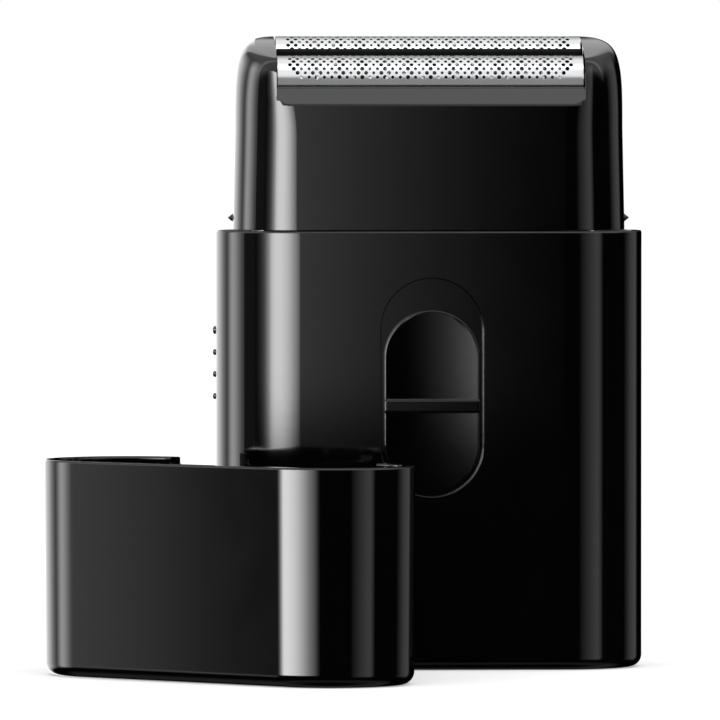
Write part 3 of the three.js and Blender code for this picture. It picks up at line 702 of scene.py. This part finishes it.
def foil_sheet(name, y):
    """Rolled foil with staggered holes, whose size swells and shrinks along each row.

    It is a grid of quarter pitches by half rows, in which a hole takes 4 by 2 cells."""
    step, half = PITCH / 4, ROW / 2
    last = math.floor(FOIL_HALF / step)
    verts, faces, index = [], [], {}
    top = 2 * ROWS + 4
    edges = {top - 2: QUARTER, top - 1: QUARTER + SKIRT, top: QUARTER + 2 * SKIRT}

    def in_field(column, row):
        return abs(row) <= ROWS and abs(column * step) <= field_half(row) + TINY

    def corner(i, j):
        if (i, j) not in index:
            index[i, j] = len(verts)
            x = math.copysign(FOIL_HALF, i) if abs(i) > last else i * step
            s = math.copysign(edges[abs(j)], j) if abs(j) in edges else j * half
            verts.append(foil_point(x, s, y))
        return index[i, j]

    def quad(i, j):
        faces.append((corner(i, j), corner(i + 1, j), corner(i + 1, j + 1), corner(i, j + 1)))

    def hole(i, row):
        j, sides = 2 * row, HOLE["sides"]
        rim = [corner(i + side, j - 1) for side in (-2, -1, 0, 1, 2)] + [corner(i + 2, j)]
        rim += [corner(i + side, j + 1) for side in (2, 1, 0, -1, -2)] + [corner(i - 2, j)]
        wave = 2 * math.pi * i * step / (HOLE["every"] * PITCH)
        radius = HOLE["radius"] + HOLE["swell"] * math.cos(wave)
        first = len(verts)
        for turn in turns(sides):
            turn += math.atan2(-half, -2 * step)
            x = i * step + radius * math.cos(turn)
            verts.append(foil_point(x, row * ROW + radius * math.sin(turn), y))
        for n in range(sides):
            m = (n + 1) % sides
            faces.append((rim[n], rim[m], first + m, first + n))

    for j in range(-top, top):
        row = math.floor((j + 1) / 2)
        for i in range(-last - 1, last + 1):
            column = 4 * math.floor((i + 2 - stagger(row)) / 4) + stagger(row)
            if not in_field(column, row):
                quad(i, j)
    for row in range(-ROWS, ROWS + 1):
        for column in range(-last, last + 1):
            if (column - stagger(row)) % 4 == 0 and in_field(column, row):
                hole(column, row)
    verts, faces = tilted((verts, faces))
    obj = make(name, verts, faces, smooth=60)
    mod = obj.modifiers.new("Thickness", "SOLIDIFY")
    mod.thickness = FOIL_THICK * MM
    mod.offset = -1
    return obj


def half_disc(radius, y, z, sides):
    """The upper half of a disc as [y, z], from the rear to the front."""
    arc = [math.pi * i / sides for i in range(sides + 1)]
    return [(y + radius * math.cos(turn), z + radius * math.sin(turn)) for turn in arc]


def blades(y):
    """A row of half-disc blades on a bar."""
    outline = half_disc(BLADE["radius"], y, FOIL_CENTRE, BLADE["sides"])
    half = BLADE["half_thickness"]
    places = [(i - (BLADE["count"] - 1) / 2) * BLADE["pitch"] for i in range(BLADE["count"])]
    length, width = BLADE_BAR["half_length"], BLADE_BAR["half_width"]
    bar = block(-length, length, y - width, y + width, BLADE_BAR["low"], BLADE_BAR["high"])
    return tilted(join(bar, *[along_x(outline, x - half, x + half) for x in places]))


def divider():
    """The bar between the foils, with a round top."""
    half, low = DIVIDER["half_width"], DIVIDER["low"]
    top = half_disc(half, 0, DIVIDER["shoulder"], DIVIDER["sides"])
    outline = [(-half, low), *reversed(top), (half, low)]
    return tilted(along_x(outline, -FOIL_HALF, FOIL_HALF))


foils = []
for word, side in (("front", -1), ("rear", 1)):
    y = side * FOIL_SPACING / 2
    foils.append(finished(foil_sheet(f"{word}_foil_sheet", y), f"{word}_foil"))
    finished(make(f"{word}_blades", *blades(y), smooth=30), f"{word}_blade_block")
finished(weigh(make("divider_bar", *divider())), "foil_divider")


# ---------------------------------------------------------------- slide switch

KNOB = dict(half_width=6.85, ridge=38.2, ridge_half=0.85, ridge_blend=0.12, scoop=0.4, scoop_radius=220.0,
            corner=0.1, back=-10.85)
STEM = dict(half_width=2.3, front=-10.95, low=33.7, high=43.5)
KNOB_ROWS = dict(end_steps=24, fine=0.06, coarse=0.4, fine_reach=1.2)  # closer together at the ridge
EDGE_SHARES = [0, 0.001, 0.003, 0.006, 0.01, 0.03, 0.1, 0.2, 0.3, 0.4, 0.5]  # closer together at the edge
knob_low, knob_high = box_mm("switch_knob")


def smoothstep(low, high, value):
    t = min(1.0, max(0.0, (value - low) / (high - low)))
    return t * t * (3 - 2 * t)


def knob_depth(x, z):
    """How far the knob's face lies behind its front plane."""
    r = KNOB["half_width"]
    centre = min(max(z, knob_low.z + r), knob_high.z - r)
    to_edge = r - math.hypot(x, z - centre)
    hollow = KNOB["scoop"] - x * x / (2 * KNOB["scoop_radius"])
    half, blend = KNOB["ridge_half"], KNOB["ridge_blend"]
    off_ridge = smoothstep(half - blend, half + blend, abs(z - KNOB["ridge"]))
    c = KNOB["corner"]
    d = min(max(to_edge, 0.0), c)
    return hollow * off_ridge + c - math.sqrt(max(0.0, c * c - (c - d) ** 2))


def knob_rows():
    """Heights of the rows of points over the knob, without its two tips."""
    r, steps = KNOB["half_width"], KNOB_ROWS["end_steps"]
    first, last = knob_low.z + r, knob_high.z - r
    rows = [first - r * math.cos(turn) for turn in quarter_turns(steps)]
    z = first
    while z < last - TINY:
        near_ridge = abs(z - KNOB["ridge"]) < KNOB_ROWS["fine_reach"]
        z += KNOB_ROWS["fine"] if near_ridge else KNOB_ROWS["coarse"]
        rows.append(min(z, last))
    rows += [last + r * math.sin(turn) for turn in quarter_turns(steps)[1:]]
    return rows[1:-1]


def thumb_knob():
    """The knob's face as rows of points between two tips, its edge, its back and the stem behind it."""
    r = KNOB["half_width"]
    low, high = knob_low.z, knob_high.z
    shares = [s * 2 - 1 for s in EDGE_SHARES] + [1 - s * 2 for s in reversed(EDGE_SHARES[:-1])]
    rows, count = knob_rows(), len(shares)
    verts, faces = [], []
    for z in rows:
        centre = min(max(z, low + r), high - r)
        w = math.sqrt(max(0.0, r * r - (z - centre) ** 2))
        verts += [(s * w, knob_low.y + knob_depth(s * w, z), z) for s in shares]
    for i in range(len(rows) - 1):
        for j in range(count - 1):
            a = i * count + j
            faces.append((a, a + 1, a + 1 + count, a + count))
    tips = []
    for z, row in ((low, 0), (high, len(rows) - 1)):
        tips.append(len(verts))
        verts.append((0, knob_low.y + knob_depth(0, z), z))
        faces += [(tips[-1], row * count + j + 1, row * count + j) for j in range(count - 1)]
    contour = [tips[0]] + [i * count + count - 1 for i in range(len(rows))] + [tips[1]]
    contour += [i * count for i in reversed(range(len(rows)))]
    behind, total = len(verts), len(contour)
    verts += [(verts[v][0], KNOB["back"], verts[v][2]) for v in contour]
    for i in range(total):
        j = (i + 1) % total
        faces.append((contour[i], contour[j], behind + j, behind + i))
    faces.append(tuple(behind + i for i in range(total)))
    stem = block(
        -STEM["half_width"], STEM["half_width"], STEM["front"], knob_high.y, STEM["low"], STEM["high"])
    return weigh(make("thumb_knob", *join((verts, faces), stem), smooth=50))


finished(thumb_knob(), "switch_knob")
for i in range(len(GAUGE_HEIGHTS)):
    lens = make(f"gauge_lens_{i + 1}", *gauge_solid(i, GAUGE_LENS, LENS_SIDES), smooth=50)
    finished(lens, f"gauge_light_{i + 1}")


# ---------------------------------------------------------------- travel cap, open end up

CAP = dict(height=30.9, draft=0.2, edge=1.8, floor=2.1, lip=0.3)
CAP_INSIDE = dict(half_width=28.85, half_depth=9.75, draft=0.3)
NOTCH = dict(half_width=19.3, depth=1.6, radius=0.9, start=8, end=20)  # takes the housing's key
CATCH = dict(size=(0.8, 1.9, 0.9), below=1.8)  # takes the neck's nubs
CAP_TURN = math.radians(-41.9)


def travel_cap():
    low, high = box_mm("cap_shell")
    top, edge, floor = CAP["height"], CAP["edge"], CAP["floor"]

    def outer(inset, z):
        return body_outline(inset + CAP["draft"] * (1 - (z - edge) / (top - edge)))

    def inner(inset, z):
        grow = -inset - CAP_INSIDE["draft"] * (top - z) / (top - floor)
        return stadium(CAP_INSIDE["half_width"] + grow, CAP_INSIDE["half_depth"] + grow, NECK["flat"])

    obj = make("travel_cap", *loft(rounded_shell(outer, inner, edge, top, floor, CAP["lip"])))
    outline = tongue(NOTCH["half_width"], top + 1, top - NOTCH["depth"], NOTCH["radius"])
    notch = upright([(outline, NOTCH["start"]), (outline, NOTCH["end"])])
    catches = [octahedron(CATCH["size"], s * CAP_INSIDE["half_width"], top - CATCH["below"]) for s in (-1, 1)]
    carve(obj, [notch, *catches])
    place = Matrix.Translation(((low.x + high.x) / 2 * MM, (low.y + high.y) / 2 * MM, 0))
    obj.data.transform(place @ Matrix.Rotation(CAP_TURN, 4, "Z"))
    return weigh(obj)


cap = finished(travel_cap(), "cap_shell")


# ---------------------------------------------------------------- camera, floor and light

CAMERA = dict(yaw=math.radians(2.2), rise=math.radians(1.6), away=1600, lens=550.4, sensor=36)
AIM = dict(left=9.95, up=44.5)  # of the origin, as the camera sees it
STAGE = dict(radius=4000, drop=0.05, sides=96)


def add_camera():
    yaw, rise = CAMERA["yaw"], CAMERA["rise"]
    target = Vector((-AIM["left"] * math.cos(yaw), AIM["left"] * math.sin(yaw), AIM["up"]))
    back = Vector((-math.sin(yaw) * math.cos(rise), -math.cos(yaw) * math.cos(rise), math.sin(rise)))
    camera = bpy.data.objects.new("camera", bpy.data.cameras.new("camera"))
    scene.collection.objects.link(camera)
    camera.data.lens = CAMERA["lens"]
    camera.data.sensor_width = CAMERA["sensor"]
    camera.data.clip_start = 0.05
    camera.data.clip_end = 50
    camera.location = (target + back * CAMERA["away"]) * MM
    camera.rotation_mode = "QUATERNION"
    camera.rotation_quaternion = (-back).to_track_quat("-Z", "Y")
    return camera


bpy.context.scene.camera = add_camera()
scene.view_settings.view_transform = "Standard"


def pale_floor():
    """A plain pale sweep, wide enough that its edge never shows."""
    ring = [(STAGE["radius"] * math.cos(a), STAGE["radius"] * math.sin(a), -STAGE["drop"])
            for a in turns(STAGE["sides"])]
    obj = make("floor", ring, [tuple(range(STAGE["sides"]))])
    m = Nodes("floor")
    m.set(Base_Color=m.blend(m.noise(0.02, 2.0), (0.86, 0.86, 0.86), (0.88, 0.88, 0.88)),
          Roughness=0.8, Specular_IOR_Level=0.0, Emission_Color=(1, 1, 1, 1), Emission_Strength=0.3)
    obj.data.materials.append(m.material)
    obj.visible_glossy = False
    obj.visible_shadow = False
    obj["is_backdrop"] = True
    return obj


pale_floor()


def heading(azimuth):
    """The level direction at that many degrees to the right of the front."""
    a = math.radians(azimuth)
    return Vector((math.sin(a), -math.cos(a), 0))


PANELS_AWAY = 1300.0  # from the origin


def panel_glow(light, falloff, fade):
    """Its glow goes across by falloff, a list of (share of the width, glow), and comes up over fade.

    Fade is two shares of the height."""
    light.use_nodes = True
    tree = light.node_tree
    tree.nodes.clear()
    place = tree.nodes.new("ShaderNodeNewGeometry")
    split = tree.nodes.new("ShaderNodeSeparateXYZ")
    ramp = tree.nodes.new("ShaderNodeValToRGB")
    rise = tree.nodes.new("ShaderNodeMapRange")
    glow = tree.nodes.new("ShaderNodeEmission")
    output = tree.nodes.new("ShaderNodeOutputLight")
    peak = max(strength for _, strength in falloff)
    stops = ramp.color_ramp.elements
    stops[0].color = stops[1].color = (0, 0, 0, 1)
    for share, strength in falloff:
        stops.new(share).color = (strength / peak,) * 3 + (1,)
    rise.interpolation_type = "SMOOTHSTEP"
    rise.inputs["From Min"].default_value = fade[0]
    rise.inputs["From Max"].default_value = fade[1]
    rise.inputs["To Max"].default_value = peak
    tree.links.new(place.outputs["Parametric"], split.inputs[0])
    tree.links.new(split.outputs["X"], ramp.inputs[0])
    tree.links.new(split.outputs["Y"], rise.inputs["Value"])
    tree.links.new(ramp.outputs[0], glow.inputs["Color"])
    tree.links.new(rise.outputs["Result"], glow.inputs["Strength"])
    tree.links.new(glow.outputs[0], output.inputs[0])


def softbox(name, start, end, low, high, fade, falloff, lit):
    """An upright panel between two headings and two heights, which only some pieces reflect.

    Falloff is a list of (heading, glow), and the glow comes up between the two heights of fade."""
    middle = (start + end) / 2
    ahead, across = heading(middle), heading(middle + 90)
    width, height = 2 * PANELS_AWAY * math.tan(math.radians(end - start) / 2), high - low
    light = bpy.data.lights.new(name, "AREA")
    light.shape = "RECTANGLE"
    light.size, light.size_y = width * MM, height * MM
    light.energy = math.pi * light.size * light.size_y
    shares = []
    for angle, strength in falloff:
        x = PANELS_AWAY * math.tan(math.radians(angle - middle))
        shares.append((x / width + 0.5, strength))
    panel_glow(light, shares, [(z - low) / height for z in fade])
    obj = bpy.data.objects.new(name, light)
    scene.collection.objects.link(obj)
    axes = Matrix((across, Vector((0, 0, 1)), ahead)).transposed().to_4x4()
    centre = ahead * PANELS_AWAY + Vector((0, 0, (low + high) / 2))
    obj.matrix_world = Matrix.Translation(centre * MM) @ axes
    obj.visible_camera = False
    obj.visible_diffuse = False
    group = bpy.data.collections.new(name + "_lit")
    for piece in lit:
        group.objects.link(piece)
    obj.light_linking.receiver_collection = group
    return obj


shown = [o for o in scene.objects if o.type == "MESH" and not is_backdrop(o)]
softbox("key_light", -64, 4.5, -160, 300, (-30, 2), [
    (-62, 0.0), (-57, 0.3), (-52, 0.8), (-48, 2.1), (-43, 5.7), (-39, 11.6), (-34, 14.5), (-26, 14.5),
    (-22, 13.3), (-17, 11.4), (-13, 9.5), (-9, 7.0), (-5, 5.0), (-1, 2.9), (0.4, 1.35), (1.15, 0.74),
    (1.65, 0.52), (1.95, 0.4), (2.3, 0.3), (2.6, 0.22), (3.2, 0.09), (3.6, 0.05), (4.1, 0.0)],
    [o for o in shown if o not in (cap, *foils)])
softbox("cap_light", -80, -14, -160, 300, (-150, -140), [
    (-79, 0.0), (-76, 1.0), (-73, 5.0), (-68, 15.5), (-62, 15.8), (-55, 14.5), (-49, 12.3), (-43, 9.6),
    (-37, 6.6), (-31, 3.8), (-26, 2.4), (-20, 0.5), (-17, 0.0)], [cap])
softbox("foil_light", -40, 40, -1300, 500, (-1300, -1200), [
    (-39, 0.0), (-30, 0.26), (30, 0.26), (39, 0.0)], foils)
softbox("rear_light", 150, 210, 330, 1700, (330, 520), [
    (151, 0.0), (156, 0.5), (180, 0.8), (204, 1.1), (209, 0.0)], [neck])


# Strips of light round the shaver: where each begins, is full, starts to fall and ends, and its glow.
STRIPS = [
    (-181.0, -180.5, -140.0, -114.0, 2.2),
    (-120.0, -107.0, -101.0, -86.0, 3.3),
    (-116.0, -107.0, -83.32, -82.25, 0.98),
    (-84.0, -82.0, -66.0, -58.0, 0.12),
    (25.0, 50.0, 54.0, 61.0, 0.95),
    (100.0, 116.0, 130.0, 138.0, 0.4),
]
STRIPS_RISE = (-22, -12, 10, 25)  # the same for their angles above the horizon
# The softboxes overhead: angles from the front, over the top, to the back.
ROOF = [
    (46.0, 55.0, 66.0, 78.0, 1.25),
    (0.0, 20.0, 105.0, 170.0, 1.0),
]
ROOF_RISE = (0.5, 9)  # they come up between these angles above the horizon
UNDER = (-75, -58, -50, -40, 0.15)  # the same for light from the floor, which isn't reflected itself


def studio():
    """White all round for the camera; what reflections see is a dark studio with strips of light."""
    world = bpy.data.worlds.new("studio")
    scene.world = world
    world.use_nodes = True
    tree = world.node_tree
    tree.nodes.clear()

    def node(kind, **attributes):
        made = tree.nodes.new(kind)
        for key, value in attributes.items():
            setattr(made, key, value)
        return made

    def math_node(operation, first, second=None):
        made = node("ShaderNodeMath", operation=operation)
        for socket, value in zip(made.inputs, (first, second)):
            if isinstance(value, bpy.types.NodeSocket):
                tree.links.new(value, socket)
            elif value is not None:
                socket.default_value = value
        return made.outputs[0]

    def between(value, start, end, low, high):
        made = node("ShaderNodeMapRange")
        tree.links.new(value, made.inputs["Value"])
        for name, number in zip(("From Min", "From Max", "To Min", "To Max"), (start, end, low, high)):
            made.inputs[name].default_value = number
        return made.outputs["Result"]

    def strip(angle, begin, full, hold, end, glow):
        up = between(angle, begin, full, 0.0, glow)
        return math_node("MULTIPLY", up, between(angle, hold, end, 1.0, 0.0))

    def total(angle, strips):
        glow = 0.0
        for one in strips:
            glow = math_node("ADD", strip(angle, *one), glow)
        return glow

    split = node("ShaderNodeSeparateXYZ")
    tree.links.new(node("ShaderNodeTexCoord").outputs["Generated"], split.inputs[0])
    x, y, z = split.outputs
    ahead = math_node("MULTIPLY", y, -1.0)
    around = math_node("MULTIPLY", math_node("ARCTAN2", x, ahead), 180 / math.pi)
    over = math_node("MULTIPLY", math_node("ARCTAN2", z, ahead), 180 / math.pi)
    rise = math_node("MULTIPLY", math_node("ARCSINE", z), 180 / math.pi)
    strips = math_node("MULTIPLY", total(around, STRIPS), strip(rise, *STRIPS_RISE, 1.0))
    above = math_node("MULTIPLY", total(over, ROOF), between(rise, *ROOF_RISE, 0.0, 1.0))
    light = math_node("ADD", math_node("ADD", strips, above), strip(rise, *UNDER))
    glow = node("ShaderNodeBackground")
    glow.inputs["Color"].default_value = (1, 1, 1, 1)
    tree.links.new(light, glow.inputs["Strength"])
    white = node("ShaderNodeBackground")
    white.inputs["Color"].default_value = (1, 1, 1, 1)
    white.inputs["Strength"].default_value = 1.0
    mix = node("ShaderNodeMixShader")
    tree.links.new(node("ShaderNodeLightPath").outputs["Is Camera Ray"], mix.inputs[0])
    tree.links.new(glow.outputs[0], mix.inputs[1])
    tree.links.new(white.outputs[0], mix.inputs[2])
    tree.links.new(mix.outputs[0], node("ShaderNodeOutputWorld").inputs[0])


studio()
